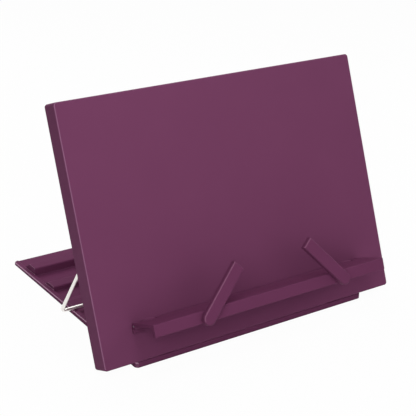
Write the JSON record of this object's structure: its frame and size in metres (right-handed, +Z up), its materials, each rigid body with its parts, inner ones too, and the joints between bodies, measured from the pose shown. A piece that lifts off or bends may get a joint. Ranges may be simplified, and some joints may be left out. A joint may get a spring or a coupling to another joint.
{
  "type": "folding book stand",
  "caption": "Folding book stand: a leaning moulded panel on a hinged tray base, held up by a bent wire prop, with a hinged ledge and swinging page arms.",
  "frame": {"origin": "on the table under the middle of the stand's footprint and overall box", "axes": "+X to the reader's right along the panel's width, +Y away from the reader towards the base's rear edge, +Z up"},
  "size_m": [0.34, 0.278, 0.2305],
  "materials": {
    "purple_plastic": "satin moulded plastic, plum purple",
    "white_wire": "steel wire with a smooth off-white coating",
    "pin_steel": "drawn steel",
    "screw_steel": "zinc-plated steel",
    "nylon": "natural nylon",
    "foot_rubber": "matt black rubber"
  },
  "bodies": {
    "base": {"base_plate": "purple_plastic", "left_hinge_pin": "pin_steel", "right_hinge_pin": "pin_steel", "front_left_foot": "foot_rubber", "front_right_foot": "foot_rubber", "rear_left_foot": "foot_rubber", "rear_right_foot": "foot_rubber"},
    "panel": {"front_panel": "purple_plastic", "left_prop_clip": "purple_plastic", "right_prop_clip": "purple_plastic", "upper_left_clip_screw": "screw_steel", "lower_left_clip_screw": "screw_steel", "upper_right_clip_screw": "screw_steel", "lower_right_clip_screw": "screw_steel", "left_ledge_pin": "pin_steel", "right_ledge_pin": "pin_steel"},
    "prop": {"wire_prop": "white_wire"},
    "ledge": {"book_ledge": "purple_plastic", "left_arm_pin": "pin_steel", "right_arm_pin": "pin_steel", "left_arm_washer": "nylon", "right_arm_washer": "nylon"},
    "left_arm": {"left_page_arm": "purple_plastic"},
    "right_arm": {"right_page_arm": "purple_plastic"}
  },
  "joints": [
    {"name": "panel_fold", "type": "hinge", "parent": "base", "child": "panel", "pos_m": [0, -0.09101, 0.006], "axis": [-1, 0, 0], "range_deg": [0, 66.7]},
    {"name": "prop_swing", "type": "hinge", "parent": "panel", "child": "prop", "pos_m": [0, -0.04743, 0.10972], "axis": [1, 0, 0], "range_deg": [0, 130.33]},
    {"name": "ledge_fold", "type": "hinge", "parent": "panel", "child": "ledge", "pos_m": [0, -0.09624, 0.04037], "axis": [-1, 0, 0], "range_deg": [0, 30]},
    {"name": "left_arm_swing", "type": "hinge", "parent": "ledge", "child": "left_arm", "pos_m": [-0.08, -0.13455, 0.05154], "axis": [0, -0.9184, 0.3955], "range_deg": [-44.2, 135.8]},
    {"name": "right_arm_swing", "type": "hinge", "parent": "ledge", "child": "right_arm", "pos_m": [0.08, -0.13455, 0.05154], "axis": [0, 0.9184, -0.3955], "range_deg": [-48.8, 131.2]}
  ],
  "couplings": [
    {"joint": "prop_swing", "follows": "panel_fold", "ratio": 1.954}
  ]
}
